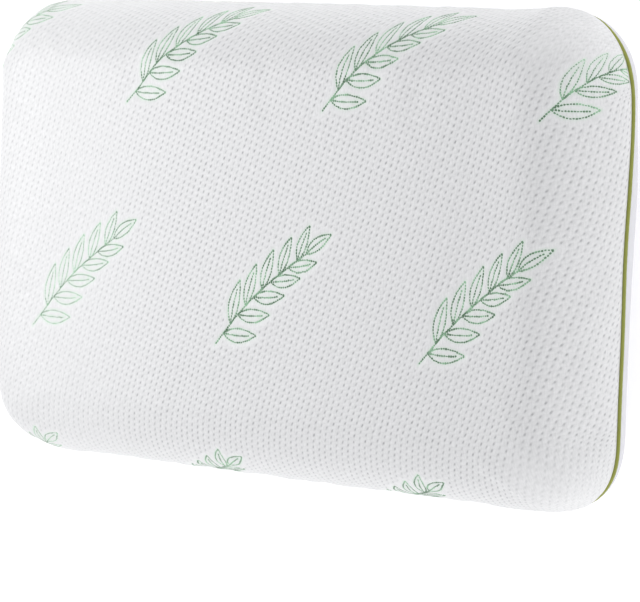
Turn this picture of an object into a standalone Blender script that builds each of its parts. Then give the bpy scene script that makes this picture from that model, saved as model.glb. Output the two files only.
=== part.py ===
"""Memory-foam bed pillow: foam block, inner liner, and a zipped cover with a piped seam.

Metres, +Z up. The pillow lies flat: X is its length, Y its width and Z its thickness, and the
origin is at the middle of its underside. The zip is on the long +Y side, below the piping.
"""
from math import asin, cos, pi, radians, sin

import bmesh
import bpy

# The pillow's outer form, over the cover cloth and without the piping.
LENGTH = 0.700
WIDTH = 0.400
THICKNESS = 0.120
CORNER_RADIUS = 0.070       # of the outline seen from above
EDGE_RADIUS = 0.059         # of the half-round sides
ARC_STEPS = 7               # facets in each quarter round
ARC_STEP = pi / 2 / ARC_STEPS

# Cloth and clearances.
GAP = 0.0003                # between pieces that touch on the real pillow
COVER_CLOTH = 0.0024
LINER_CLOTH = 0.0007
LINER_SPLIT = 0.0012        # the band that the liner's overlock seam takes up
LINER_SEAM_RADIUS = 0.0003

# Piping: a cord in a folded bias tape, at the middle of the second facet below the widest line.
SEAM_DROP = 1.5 * ARC_STEP
FACET_DISTANCE = EDGE_RADIUS * cos(ARC_STEP / 2)    # from the side's centre line to a facet
SEAM_HEIGHT = EDGE_RADIUS - FACET_DISTANCE * sin(SEAM_DROP)
SEAM_INSET = EDGE_RADIUS - FACET_DISTANCE * cos(SEAM_DROP)
SEAM_SPLIT = 0.0015         # between the two panels' edges, where the tape goes in
PIPING_RADIUS = 0.0021
PIPING_TAPE = 0.0004
PIPING_CORD_RADIUS = 0.0013
FLANGE_LENGTH = 0.0021      # the part of the tape that lies between the panels

# Zip, in its own frame: X along the zip, Y down across it, Z out of the cover.
ZIP_DROP = 2.5 * ARC_STEP   # the middle of the third facet below the widest line
ZIP_SLOT_LENGTH = 0.500
ZIP_SLOT_WIDTH = 0.0112
ZIP_TAPE_HEIGHTS = (-0.0009, -0.0002)
ZIP_COIL_HEIGHTS = (0.0001, 0.0017)
ZIP_COIL_WIDTH = 0.0021
ZIP_MIDDLE_GAP = 0.0014     # room for the slider's neck
ZIP_END_ROOM = 0.0060       # from the slot's end to the coil's end
STOP_LENGTH = 0.0030
SLIDER_LENGTH = 0.0090
SLIDER_HALF_WIDTH = 0.0035
SLIDER_RAIL = 0.0006
SLIDER_NECK = 0.0008
SLIDER_TOP_HEIGHTS = (0.0020, 0.0032)
SLIDER_FOOT_HEIGHTS = (-0.0022, -0.0012)
BRIDGE_WIDTH = 0.0016
BRIDGE_HALF_LENGTH = 0.0032
BRIDGE_WALL = 0.0009
BRIDGE_CHAMFER = 0.0006
BRIDGE_INNER_TOP = 0.0052
PULL_AXIS_HEIGHT = 0.0042
PULL_THICKNESS = 0.0010
PULL_LENGTH = 0.0240
PULL_HALF_WIDTH = 0.0032
PULL_EYE_LENGTH = 0.0042
PULL_EYE_HALF_WIDTH = 0.0013
STITCH_WIDTH = 0.0005
STITCH_PLACE = 0.0061       # from the middle of the zip
TACK_LENGTH = 0.0020
TACK_HALF_WIDTH = 0.0060

# Care label, on the -X end.
LABEL_PLACE = 0.090         # along Y
LABEL_WIDTH = 0.022
LABEL_CLOTH = 0.0004
LABEL_START = radians(23.0)     # below the widest line, just under the piping
LABEL_END = radians(53.0)
LABEL_STEPS = 6

# The slider rests closed, at the +X end of the coils, and it travels twice this far.
SLIDER_PLACE = ZIP_SLOT_LENGTH / 2 - ZIP_END_ROOM - SLIDER_LENGTH / 2


def clear_scene():
    """Remove everything that the file holds."""
    for item in list(bpy.data.objects):
        bpy.data.objects.remove(item, do_unlink=True)


def make_collection(name):
    """A new collection in the scene."""
    collection = bpy.data.collections.new(name)
    bpy.context.scene.collection.children.link(collection)
    return collection


def make_material(name, color, roughness, metallic=0.0):
    """A Principled material of one colour."""
    material = bpy.data.materials.new(name)
    material.use_nodes = True
    shader = material.node_tree.nodes["Principled BSDF"]
    shader.inputs["Base Color"].default_value = (*color, 1.0)
    shader.inputs["Roughness"].default_value = roughness
    shader.inputs["Metallic"].default_value = metallic
    return material


def add_object(name, data, collection, material=None, parent=None):
    """A new object in a collection, with its material and its parent."""
    item = bpy.data.objects.new(name, data)
    collection.objects.link(item)
    if material:
        data.materials.append(material)
    item.parent = parent
    return item


def add_mesh(name, bm, collection, material=None, parent=None):
    """A new mesh object made from a bmesh."""
    mesh = bpy.data.meshes.new(name)
    bm.to_mesh(mesh)
    bm.free()
    return add_object(name, mesh, collection, material, parent)


def cushion(inset):
    """The pillow's closed form, moved inward by the inset: a box with all its edges rounded."""
    bm = bmesh.new()
    bmesh.ops.create_cube(bm, size=1.0)
    size = (LENGTH - 2 * inset, WIDTH - 2 * inset, THICKNESS - 2 * inset)
    bmesh.ops.scale(bm, vec=size, verts=bm.verts)
    bmesh.ops.translate(bm, vec=(0, 0, THICKNESS / 2), verts=bm.verts)
    upright = [edge for edge in bm.edges if abs(edge.verts[0].co.z - edge.verts[1].co.z) > size[2] / 2]
    round_edges(bm, upright, CORNER_RADIUS - inset)
    level = {edge for face in bm.faces if abs(face.normal.z) > 0.9 for edge in face.edges}
    round_edges(bm, list(level), EDGE_RADIUS - inset)
    return bm


def round_edges(bm, edges, radius):
    """Bevel edges to a quarter round."""
    bmesh.ops.bevel(bm, geom=edges, offset=radius, offset_type="OFFSET", segments=ARC_STEPS,
                    profile=0.5, affect="EDGES", clamp_overlap=False)
    bm.normal_update()


def shade_round(item):
    """Smooth shading, with sharp edges where faces meet steeply."""
    item.data.shade_smooth()
    item.data.set_sharp_from_angle(angle=radians(35))


def half_skin(name, inset, cloth, height, keep_upper, collection, material):
    """A sheet of cloth over one side of the cushion, cut off level at a height."""
    outer = cushion(inset)
    cut_level(outer, height, keep_upper)
    inner = cushion(inset + cloth)
    cut_level(inner, height, keep_upper)
    bmesh.ops.reverse_faces(inner, faces=inner.faces)
    inner_mesh = bpy.data.meshes.new(name + "_inside")
    inner.to_mesh(inner_mesh)
    inner.free()
    outer.from_mesh(inner_mesh)
    bpy.data.meshes.remove(inner_mesh)
    rims = [edge for edge in outer.edges if edge.is_boundary]
    bmesh.ops.bridge_loops(outer, edges=rims)
    bmesh.ops.recalc_face_normals(outer, faces=outer.faces)
    skin = add_mesh(name, outer, collection, material)
    shade_round(skin)
    return skin


def cut_level(bm, height, keep_upper):
    """Cut a form at a height, and leave it open there."""
    everything = list(bm.verts) + list(bm.edges) + list(bm.faces)
    bmesh.ops.bisect_plane(bm, geom=everything, plane_co=(0, 0, height), plane_no=(0, 0, 1),
                           clear_inner=keep_upper, clear_outer=not keep_upper)


def rounded_rectangle(inset):
    """Points round the pillow's outline, moved inward by the inset."""
    radius = CORNER_RADIUS - inset
    center_x = LENGTH / 2 - CORNER_RADIUS
    center_y = WIDTH / 2 - CORNER_RADIUS
    points = []
    for corner, (side_x, side_y) in enumerate(((1, 1), (-1, 1), (-1, -1), (1, -1))):
        for step in range(ARC_STEPS + 1):
            angle = corner * pi / 2 + step * ARC_STEP
            points.append((side_x * center_x + radius * cos(angle), side_y * center_y + radius * sin(angle)))
    return points


def closed_spline(curve, points):
    """Add a closed spline of straight lines, in the curve's own plane."""
    spline = curve.splines.new("POLY")
    spline.points.add(len(points) - 1)
    for spline_point, (x, y) in zip(spline.points, points):
        spline_point.co = (x, y, 0, 1)
    spline.use_cyclic_u = True


def ring(name, inset, height, collection, material, radius=0.0, section=None):
    """A bead round the pillow: a round one of some radius, or one with its own section."""
    curve = bpy.data.curves.new(name, "CURVE")
    curve.dimensions = "3D"
    curve.twist_mode = "Z_UP"
    closed_spline(curve, rounded_rectangle(inset))
    if section:
        curve.bevel_mode = "OBJECT"
        curve.bevel_object = section
    else:
        curve.bevel_depth = radius
        curve.bevel_resolution = 2
    bead = add_object(name, curve, collection, material)
    bead.location.z = height
    return bead


def tape_section(collection):
    """Section of the folded piping tape: a round loop, open inward, with two flat flanges."""
    inner = PIPING_RADIUS - PIPING_TAPE
    lip = GAP / 2
    outer_lip = lip + PIPING_TAPE * 0.8
    reach = PIPING_RADIUS + GAP + FLANGE_LENGTH
    outer_start = asin(outer_lip / PIPING_RADIUS)
    inner_start = asin(lip / inner)
    points = [(-reach, lip), (-reach, outer_lip)]
    points += arc(PIPING_RADIUS, pi - outer_start, outer_start - pi, 12)
    points += [(-reach, -outer_lip), (-reach, -lip)]
    points += arc(inner, inner_start - pi, pi - inner_start, 10)
    curve = bpy.data.curves.new("piping_tape_section", "CURVE")
    curve.dimensions = "2D"
    closed_spline(curve, points)
    guide = add_object("piping_tape_section", curve, collection)
    hide_helper(guide)
    return guide


def arc(radius, start, end, steps):
    """Points along an arc about the origin."""
    angles = [start + (end - start) * step / steps for step in range(steps + 1)]
    return [(radius * cos(angle), radius * sin(angle)) for angle in angles]


def hide_helper(item):
    """Mark a cutter or a guide, which isn't a piece of the pillow."""
    item.hide_render = True
    item.display_type = "WIRE"


def block(name, x_range, y_range, z_range, collection, material=None, parent=None):
    """A box between the given limits, with its origin at its middle."""
    bm = bmesh.new()
    bmesh.ops.create_cube(bm, size=1.0)
    limits = (x_range, y_range, z_range)
    bmesh.ops.scale(bm, vec=[high - low for low, high in limits], verts=bm.verts)
    box = add_mesh(name, bm, collection, material, parent)
    box.location = [(low + high) / 2 for low, high in limits]
    return box


def plate(name, outlines, thickness, collection, material=None, parent=None):
    """A flat mesh plate in its own XY plane, from an outline and any holes."""
    curve = bpy.data.curves.new(name + "_outline", "CURVE")
    curve.dimensions = "2D"
    curve.fill_mode = "BOTH"
    curve.extrude = thickness / 2
    for outline in outlines:
        closed_spline(curve, outline)
    drawing = add_object(name + "_outline", curve, collection)
    bpy.context.view_layer.update()
    evaluated = drawing.evaluated_get(bpy.context.evaluated_depsgraph_get())
    mesh = bpy.data.meshes.new_from_object(evaluated)
    bpy.data.objects.remove(drawing)
    bpy.data.curves.remove(curve)
    bm = bmesh.new()
    bm.from_mesh(mesh)
    bmesh.ops.remove_doubles(bm, verts=bm.verts, dist=0.00001)
    bmesh.ops.recalc_face_normals(bm, faces=bm.faces)
    bpy.data.meshes.remove(mesh)
    return add_mesh(name, bm, collection, material, parent)


def combine(item, other, operation):
    """Boolean of two objects, exact solver."""
    boolean = item.modifiers.new(operation.lower(), "BOOLEAN")
    boolean.operation = operation
    boolean.solver = "EXACT"
    boolean.object = other
    hide_helper(other)


def build_filling(pillow, colors):
    """The foam block and the liner around it."""
    liner_inset = COVER_CLOTH + GAP
    core_inset = liner_inset + LINER_CLOTH + GAP
    core = add_mesh("foam_core", cushion(core_inset), pillow, colors["foam"])
    shade_round(core)
    middle = THICKNESS / 2
    half_skin("liner_upper", liner_inset, LINER_CLOTH, middle + LINER_SPLIT / 2, True,
              pillow, colors["liner"])
    half_skin("liner_lower", liner_inset, LINER_CLOTH, middle - LINER_SPLIT / 2, False,
              pillow, colors["liner"])
    ring("liner_seam", liner_inset + LINER_CLOTH / 2, middle, pillow, colors["thread"],
         radius=LINER_SEAM_RADIUS)


def build_cover(pillow, helpers, colors):
    """The two panels of the cover, and the piping between them."""
    half_skin("cover_top_panel", 0.0, COVER_CLOTH, SEAM_HEIGHT + SEAM_SPLIT / 2, True,
              pillow, colors["top_knit"])
    bottom = half_skin("cover_bottom_panel", 0.0, COVER_CLOTH, SEAM_HEIGHT - SEAM_SPLIT / 2, False,
                       pillow, colors["bottom_knit"])
    piping_inset = SEAM_INSET - (PIPING_RADIUS + GAP) / cos(SEAM_DROP)
    ring("piping_sleeve", piping_inset, SEAM_HEIGHT, pillow, colors["piping"],
         section=tape_section(helpers))
    ring("piping_cord", piping_inset, SEAM_HEIGHT, pillow, colors["thread"],
         radius=PIPING_CORD_RADIUS)
    return bottom


def build_zip(pillow, helpers, colors, bottom):
    """The zip in its slot in the bottom panel."""
    frame = add_object("zip_frame", None, pillow)
    frame.location = (0.0, WIDTH / 2 - EDGE_RADIUS + FACET_DISTANCE * cos(ZIP_DROP),
                      EDGE_RADIUS - FACET_DISTANCE * sin(ZIP_DROP))
    frame.rotation_euler = (-(pi / 2 + ZIP_DROP), 0.0, 0.0)

    half_slot = ZIP_SLOT_LENGTH / 2
    slot = block("zip_slot_cutter", (-half_slot, half_slot),
                 (-ZIP_SLOT_WIDTH / 2, ZIP_SLOT_WIDTH / 2), (-0.010, 0.010), helpers, parent=frame)
    combine(bottom, slot, "DIFFERENCE")

    half_tape = half_slot - GAP
    half_coil = half_slot - ZIP_END_ROOM
    inner = ZIP_MIDDLE_GAP / 2
    stop_heights = (ZIP_COIL_HEIGHTS[0], ZIP_COIL_HEIGHTS[1] + GAP)
    for side, label in ((-1, "upper"), (1, "lower")):
        tape_y = sorted((side * inner, side * (ZIP_SLOT_WIDTH / 2 - GAP)))
        block("zip_tape_" + label, (-half_tape, half_tape), tape_y, ZIP_TAPE_HEIGHTS,
              pillow, colors["zip_tape"], frame)
        coil_y = sorted((side * inner, side * (inner + ZIP_COIL_WIDTH)))
        block("zip_coil_" + label, (-half_coil, half_coil), coil_y, ZIP_COIL_HEIGHTS,
              pillow, colors["zip_coil"], frame)
        block("zip_top_stop_" + label, (half_coil + GAP, half_coil + GAP + STOP_LENGTH), coil_y,
              stop_heights, pillow, colors["metal"], frame)
        stitch_y = sorted((side * STITCH_PLACE, side * (STITCH_PLACE + STITCH_WIDTH)))
        block("zip_topstitch_" + label, (-half_slot, half_slot), stitch_y,
              (GAP, GAP + STITCH_WIDTH), pillow, colors["thread"], frame)
    coils_edge = inner + ZIP_COIL_WIDTH
    block("zip_bottom_stop", (-half_coil - GAP - STOP_LENGTH, -half_coil - GAP),
          (-coils_edge, coils_edge), stop_heights, pillow, colors["metal"], frame)
    for side, label in ((-1, "start"), (1, "end")):
        tack_x = sorted((side * (half_slot + GAP), side * (half_slot + GAP + TACK_LENGTH)))
        block("zip_bar_tack_" + label, tack_x, (-TACK_HALF_WIDTH, TACK_HALF_WIDTH),
              (GAP, GAP + STITCH_WIDTH), pillow, colors["thread"], frame)
    build_slider(pillow, helpers, colors, frame)


def slider_section():
    """Section of the slider across the zip: plate with rails, neck and foot."""
    rail_foot = ZIP_COIL_HEIGHTS[0]
    top_low, top_high = SLIDER_TOP_HEIGHTS
    foot_low, foot_high = SLIDER_FOOT_HEIGHTS
    rail = SLIDER_HALF_WIDTH - SLIDER_RAIL
    neck = SLIDER_NECK / 2
    half = [(neck, foot_high), (SLIDER_HALF_WIDTH, foot_high), (SLIDER_HALF_WIDTH, foot_low)]
    upper = [(SLIDER_HALF_WIDTH, top_high), (SLIDER_HALF_WIDTH, rail_foot), (rail, rail_foot),
             (rail, top_low), (neck, top_low)]
    right = upper + half
    left = [(-y, z) for y, z in reversed(right)]
    return right + left


def bridge_outline():
    """Side view of the slider's bridge, which the pull's eye goes under."""
    base = SLIDER_TOP_HEIGHTS[1] - GAP
    top = BRIDGE_INNER_TOP + BRIDGE_WALL
    half = BRIDGE_HALF_LENGTH
    inside = half - BRIDGE_WALL
    shoulder = top - BRIDGE_CHAMFER
    flat = half - BRIDGE_CHAMFER
    return [(-half, base), (-half, shoulder), (-flat, top), (flat, top), (half, shoulder),
            (half, base), (inside, base), (inside, BRIDGE_INNER_TOP),
            (-inside, BRIDGE_INNER_TOP), (-inside, base)]


def build_slider(pillow, helpers, colors, frame):
    """The slider, and the pull tab with its origin on its own hinge axis."""
    slider = plate("zip_slider", [slider_section()], SLIDER_LENGTH, pillow, colors["metal"], frame)
    slider.location = (SLIDER_PLACE, 0.0, 0.0)
    slider.rotation_euler = (pi / 2, 0.0, pi / 2)
    bridge = plate("zip_bridge", [bridge_outline()], BRIDGE_WIDTH, helpers, parent=frame)
    bridge.location = (SLIDER_PLACE, 0.0, 0.0)
    bridge.rotation_euler = (pi / 2, 0.0, 0.0)
    combine(slider, bridge, "UNION")

    crossbar = PULL_THICKNESS / 2
    outline = [(-crossbar, -PULL_HALF_WIDTH), (PULL_LENGTH - PULL_HALF_WIDTH, -PULL_HALF_WIDTH)]
    center = PULL_LENGTH - PULL_HALF_WIDTH
    outline += [(center + x, y) for x, y in arc(PULL_HALF_WIDTH, -pi / 2, pi / 2, 8)[1:-1]]
    outline += [(center, PULL_HALF_WIDTH), (-crossbar, PULL_HALF_WIDTH)]
    eye = [(crossbar, -PULL_EYE_HALF_WIDTH), (crossbar, PULL_EYE_HALF_WIDTH),
           (PULL_EYE_LENGTH, PULL_EYE_HALF_WIDTH), (PULL_EYE_LENGTH, -PULL_EYE_HALF_WIDTH)]
    pull = plate("zip_pull", [outline, eye], PULL_THICKNESS, pillow, colors["metal"], frame)
    pull.location = (SLIDER_PLACE, 0.0, PULL_AXIS_HEIGHT)


def build_label(pillow, colors):
    """The blank care label: a strip of satin that lies round the -X end, under the piping."""
    bm = bmesh.new()
    bmesh.ops.create_grid(bm, x_segments=1, y_segments=LABEL_STEPS, size=0.5)
    radius = EDGE_RADIUS + GAP + LABEL_CLOTH / 2
    for vert in bm.verts:
        drop = LABEL_START + (vert.co.y + 0.5) * (LABEL_END - LABEL_START)
        side = vert.co.x * LABEL_WIDTH
        vert.co = (-(LENGTH / 2 - EDGE_RADIUS + radius * cos(drop)), LABEL_PLACE + side,
                   EDGE_RADIUS - radius * sin(drop))
    bmesh.ops.recalc_face_normals(bm, faces=bm.faces)
    label = add_mesh("care_label", bm, pillow, colors["label"])
    solid = label.modifiers.new("cloth", "SOLIDIFY")
    solid.thickness = LABEL_CLOTH
    solid.offset = 0.0
    solid.use_even_offset = True


def main():
    clear_scene()
    pillow = make_collection("bed_pillow")
    helpers = make_collection("bed_pillow_helpers")
    colors = {
        "top_knit": make_material("dimpled_knit", (0.86, 0.86, 0.89), 0.85),
        "bottom_knit": make_material("plain_knit", (0.66, 0.66, 0.72), 0.90),
        "piping": make_material("green_bias_tape", (0.28, 0.33, 0.05), 0.75),
        "foam": make_material("memory_foam", (0.90, 0.87, 0.74), 0.95),
        "liner": make_material("liner_jersey", (0.88, 0.88, 0.87), 0.90),
        "thread": make_material("sewing_thread", (0.80, 0.80, 0.82), 0.70),
        "zip_tape": make_material("zip_tape_weave", (0.80, 0.80, 0.83), 0.85),
        "zip_coil": make_material("zip_coil_nylon", (0.82, 0.82, 0.85), 0.40),
        "metal": make_material("zip_metal", (0.62, 0.62, 0.64), 0.30, metallic=1.0),
        "label": make_material("label_satin", (0.90, 0.90, 0.90), 0.45),
    }
    build_filling(pillow, colors)
    bottom = build_cover(pillow, helpers, colors)
    build_zip(pillow, helpers, colors, bottom)
    build_label(pillow, colors)


main()
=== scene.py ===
"""Looks of the bed pillow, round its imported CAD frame. Metres, +Z up, in the CAD's own frame.

The cover's two panels are built as cloth. Each is a grid in the cloth's own flat coordinates
(a along the pillow, b across it), laid over the foam's rounded form. Where the flat cloth leaves
the pillow's flat face it turns down the rounded side, by its own length, as far as the piped
seam. The knit's dimples, the leaf sprigs, the zip's slot and the label are all placed in those
flat coordinates.
"""
from math import cos, pi, radians, sin

import bmesh
import bpy
import numpy as np
from mathutils import Matrix, Vector
from mathutils.kdtree import KDTree


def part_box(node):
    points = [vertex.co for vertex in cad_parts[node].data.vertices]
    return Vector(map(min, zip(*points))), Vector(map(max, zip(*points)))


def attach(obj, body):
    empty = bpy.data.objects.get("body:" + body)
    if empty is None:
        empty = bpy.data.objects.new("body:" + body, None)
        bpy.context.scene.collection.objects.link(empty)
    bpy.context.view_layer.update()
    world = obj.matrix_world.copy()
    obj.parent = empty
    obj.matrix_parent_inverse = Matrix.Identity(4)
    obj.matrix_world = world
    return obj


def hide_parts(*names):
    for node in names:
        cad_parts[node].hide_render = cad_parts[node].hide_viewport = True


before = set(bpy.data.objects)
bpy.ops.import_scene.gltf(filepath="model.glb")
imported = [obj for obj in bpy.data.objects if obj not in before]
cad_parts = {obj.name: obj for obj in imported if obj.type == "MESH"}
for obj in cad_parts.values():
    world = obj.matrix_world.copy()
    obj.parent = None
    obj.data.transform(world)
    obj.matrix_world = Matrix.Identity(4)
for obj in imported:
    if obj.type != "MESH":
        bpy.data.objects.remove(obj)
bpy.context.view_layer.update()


def middle(*nodes):
    """The middle of the box round some CAD nodes."""
    boxes = [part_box(node) for node in nodes]
    low = [min(box[0][axis] for box in boxes) for axis in range(3)]
    high = [max(box[1][axis] for box in boxes) for axis in range(3)]
    return (Vector(low) + Vector(high)) / 2


# ---- Sizes and places ----
COVER_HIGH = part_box("cover_top_panel")[1]
THICKNESS = COVER_HIGH.z
SIDE_REACH = 0.059  # how far the half-round side stands out from the flat face
FACE_X = COVER_HIGH.x - SIDE_REACH
FACE_Y = COVER_HIGH.y - SIDE_REACH
FACE_CORNER = 0.011  # corner radius of the flat face's outline
SECTION_POWER = 2.15  # of the side's section: 2 is a half round, more is squarer
CROWN = 0.0026  # the top face's rise at its middle
HOLLOW = 0.0024  # shallow hollow across the face, near each end
HOLLOW_PLACE = 0.254
HOLLOW_WIDTH = 0.038
CREST = 0.0064  # crest along the ends, where the side begins to turn down
CREST_PLACE = 0.326
CREST_WIDTH = 0.033
TAPER = 0.0024  # the ends lean in by this at -Y, and out at +Y

# How much fuller each corner of the filled cover is than a round one, by the signs of X and Y.
CORNER_FILL = {(1, 1): 0.054, (-1, 1): -0.030, (-1, -1): 0.044, (1, -1): 0.150}

# Where the filling pushes the side out, or leaves it slack: X and Y of the place, width, height.
SWELLS = [(0.351, 0.060, 0.050, 0.0030), (0.351, 0.130, 0.045, -0.0020),
          (0.351, -0.090, 0.050, -0.0006), (0.300, 0.201, 0.035, 0.0025),
          (0.230, 0.201, 0.050, -0.0012), (-0.300, 0.180, 0.040, 0.0015)]

# Where the seam was sewn higher, or lower, than it should be, in the same way.
SEAM_SHIFTS = [(0.280, 0.210, 0.065, 0.0038), (0.335, 0.180, 0.030, 0.0024),
               (0.351, 0.120, 0.035, -0.0058), (0.351, 0.050, 0.050, 0.0036),
               (0.300, -0.205, 0.050, 0.0014)]

# The piped seam.
SEAM_HEIGHT = middle("piping_sleeve").z
PIPING_RADIUS = 0.00155
PIPING_STEP = 0.0016
TAPE_LAY = 0.0062  # length in which the tape's slant goes once round
CORD_RADIUS = 0.00105  # of the filler inside it
CORD_LAY = 0.0035
PIPING_SINK = 0.0002  # of its middle below the cloth's form, at the ends
SIDE_SINK = 0.0017  # how much deeper it lies along the long sides
SLOPE_STEP = 0.0004  # either way, to find the cloth's slope
SEAM_TUCK = 0.0019  # how far the cloth is drawn in at the seam
TUCK_RUN = 0.010  # the length of cloth that the tuck bends

# The top panel's knit.
STITCH_X = 0.00200
STITCH_Y = 0.00183
DIMPLE_REPEAT = 10  # one stitch in this many is tucked in, in a satin order
DIMPLE_SKIP = 3
DIMPLE_DEPTH = 0.00026
DIMPLE_RIM = 0.00007  # rise of the stitches beside a tucked one
GRID_SPARE = 0.012  # how far each panel's grid is begun beyond its seam
BOTTOM_STEP = 0.0030  # the bottom panel's grid
GROOVE_DEPTH = 0.0006  # of the knit under the sprigs' thread
PUFF_HEIGHT = 0.0004  # of the knit beside it
THREAD_LIFT = -0.75 * GROOVE_DEPTH
DRAPE_EVERY = 4  # grid steps of the cloth simulation's own coarse grid
SETTLE_FRAMES = 20
RIPPLE_SHARE = 0.6
RIPPLE_LIMIT = 0.0012

# The zip's own frame: X along the zip, Y down across it, Z out of the cover.
ZIP_UP = (middle("zip_topstitch_upper") - middle("zip_topstitch_lower")).normalized()
ZIP_OUT = Vector((0.0, ZIP_UP.z, -ZIP_UP.y))
STITCH_LIFT = 0.00055  # of the CAD's stitch lines over the zip's plane
ZIP_PLACE = middle("zip_topstitch_upper", "zip_topstitch_lower") - ZIP_OUT * STITCH_LIFT
ZIP_TURN = np.array([(1, 0, 0), -ZIP_UP, ZIP_OUT]).T
SLOT_HALF_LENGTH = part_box("zip_topstitch_upper")[1].x
SLOT_HALF_WIDTH = 0.0050
SLOT_LIFT = 0.0004  # of the cloth beside the zip over the zip's plane
TOPSTITCH_PLACE = 0.0064
TOPSTITCH_LENGTH = 0.0030
COIL_HALF_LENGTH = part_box("zip_coil_upper")[1].x
TOOTH_SPACING = 0.00125
PULL_HEIGHT = 4.2  # of the pull's axis over the zip's plane, in millimetres


# ---- Small helpers ----


def add_piece(name, points, faces, material, slot, body="pillow", replaces=(), closed=False):
    """A new smooth piece from arrays of points and faces, riding on a body."""
    mesh = bpy.data.meshes.new(name)
    mesh.from_pydata(np.asarray(points, float).tolist(), [], faces)
    if closed:
        form = bmesh.new()
        form.from_mesh(mesh)
        bmesh.ops.recalc_face_normals(form, faces=form.faces)
        form.to_mesh(mesh)
        form.free()
    mesh.polygons.foreach_set("use_smooth", [True] * len(mesh.polygons))
    mesh.materials.append(material)
    mesh.update()
    piece = bpy.data.objects.new(name, mesh)
    bpy.context.scene.collection.objects.link(piece)
    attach(piece, body)
    if replaces:
        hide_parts(*replaces)
    return piece


def set_value(mesh, name, values):
    """A number on each point, for the material to read."""
    layer = mesh.attributes.new(name, "FLOAT", "POINT")
    layer.data.foreach_set("value", np.asarray(values, np.float32))


def set_uv(mesh, flat):
    """Cloth coordinates, in metres, as the mesh's UV map."""
    layer = mesh.uv_layers.new(name="cloth")
    corner_points = np.zeros(len(mesh.loops), np.int32)
    mesh.loops.foreach_get("vertex_index", corner_points)
    layer.data.foreach_set("uv", np.asarray(flat, np.float32)[corner_points].ravel())


def ease(low, high, value):
    """0 below low, 1 above high, and smooth between."""
    t = np.clip((value - low) / (high - low), 0.0, 1.0)
    return t * t * (3 - 2 * t)


def bell(distance, width):
    """1 at no distance, falling smoothly to 0 over about two widths."""
    return np.exp(-(distance / width) ** 2)


def soften(piece, width, segments=2):
    """Rounded edges and crisp flats on a small hard piece."""
    bevel = piece.modifiers.new("rounded", "BEVEL")
    bevel.width = width
    bevel.segments = segments
    bevel.limit_method = "ANGLE"
    bevel.harden_normals = True


def unit(vectors):
    """The vectors, each made one long."""
    return vectors / np.maximum(np.linalg.norm(vectors, axis=-1, keepdims=True), 1e-12)


def stacked(*parts):
    """Coordinates, each an array or one number, put side by side as points."""
    return np.stack(np.broadcast_arrays(*parts), axis=-1)


def joined(shapes):
    """Several shapes' points and faces as one."""
    points, faces, start = [], [], 0
    for shape_points, shape_faces in shapes:
        points.append(np.asarray(shape_points, float))
        faces += [[corner + start for corner in face] for face in shape_faces]
        start += len(shape_points)
    return np.concatenate(points), faces


def skin(rings, sides, closed=False):
    """Faces between a row of rings of points. Closed, the last ring joins the first."""
    first = np.arange(rings if closed else rings - 1)[:, None] * sides
    after = (first + sides) % (rings * sides)
    side = np.arange(sides)
    beside = (side + 1) % sides
    faces = stacked(first + side, first + beside, after + beside, after + side)
    return faces.reshape(-1, 4).tolist()


def bar(rings):
    """A closed bar through a row of rings of points."""
    rings = np.asarray(rings, float)
    count, sides = rings.shape[:2]
    last = (count - 1) * sides
    ends = [list(range(sides))[::-1], list(range(last, last + sides))]
    return rings.reshape(-1, 3), skin(count, sides) + ends


def wire(path, across, half_width, half_height, sides=6):
    """A closed wire along a path. Its width lies along a direction that the path never takes."""
    path, across = np.asarray(path, float), np.asarray(across, float)
    ahead = unit(np.gradient(path, axis=0))
    wide = unit(across - ahead * (ahead @ across)[:, None])
    high = np.cross(ahead, wide)
    turn = np.arange(sides) * 2 * pi / sides
    rings = (path[:, None] + wide[:, None] * (half_width * np.cos(turn))[None, :, None]
             + high[:, None] * (half_height * np.sin(turn))[None, :, None])
    return bar(rings)


# ---- The pillow's form ----


def side_section():
    """The rounded side, from the top face's edge round to the bottom face's edge.

    Gives the length along the cloth, the reach outward and the height, at each step.
    """
    turn = np.linspace(0.0, pi, 1441)
    reach = SIDE_REACH * np.abs(np.sin(turn)) ** (2 / SECTION_POWER)
    rise = np.sign(np.cos(turn)) * np.abs(np.cos(turn)) ** (2 / SECTION_POWER)
    height = THICKNESS / 2 * (1 + rise)
    along = np.concatenate([[0.0], np.cumsum(np.hypot(np.diff(reach), np.diff(height)))])
    return along, reach, height


ALONG, REACH, HEIGHT = side_section()
WHOLE_SIDE = float(ALONG[-1])
SEAM_ALONG = float(np.interp(-SEAM_HEIGHT, -HEIGHT, ALONG))


def beyond_face(a, b):
    """Where flat points lie outside the face.

    Gives their distance from it, the direction straight out of it, and the point of the pillow's
    outline that they lie towards.
    """
    core_x, core_y = FACE_X - FACE_CORNER, FACE_Y - FACE_CORNER
    out_a = np.maximum(np.abs(a) - core_x, 0.0)
    out_b = np.maximum(np.abs(b) - core_y, 0.0)
    far = np.hypot(out_a, out_b)
    safe = np.maximum(far, 1e-9)
    direction = stacked(np.sign(a) * out_a / safe, np.sign(b) * out_b / safe)
    core = stacked(np.clip(a, -core_x, core_x), np.clip(b, -core_y, core_y))
    rim = core + direction * (FACE_CORNER + SIDE_REACH)
    return np.maximum(far - FACE_CORNER, 0.0), direction, rim


def waves_at(rim, waves):
    """The sum of some low waves, at points of the pillow's outline."""
    total = np.zeros(np.shape(rim)[:-1])
    for x, y, width, height in waves:
        total = total + height * bell(np.hypot(rim[..., 0] - x, rim[..., 1] - y), width)
    return total


def fullness(direction, rim):
    """How much further than a plain half-round side the filled one reaches out."""
    x, y = direction[..., 0], direction[..., 1]
    slant = (2 * x * y) ** 2
    fill = np.zeros_like(x)
    for (side_x, side_y), share in CORNER_FILL.items():
        fill = np.where((x * side_x > 0) & (y * side_y > 0), share, fill)
    return 1 + fill * slant + waves_at(rim, SWELLS) / SIDE_REACH


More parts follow.
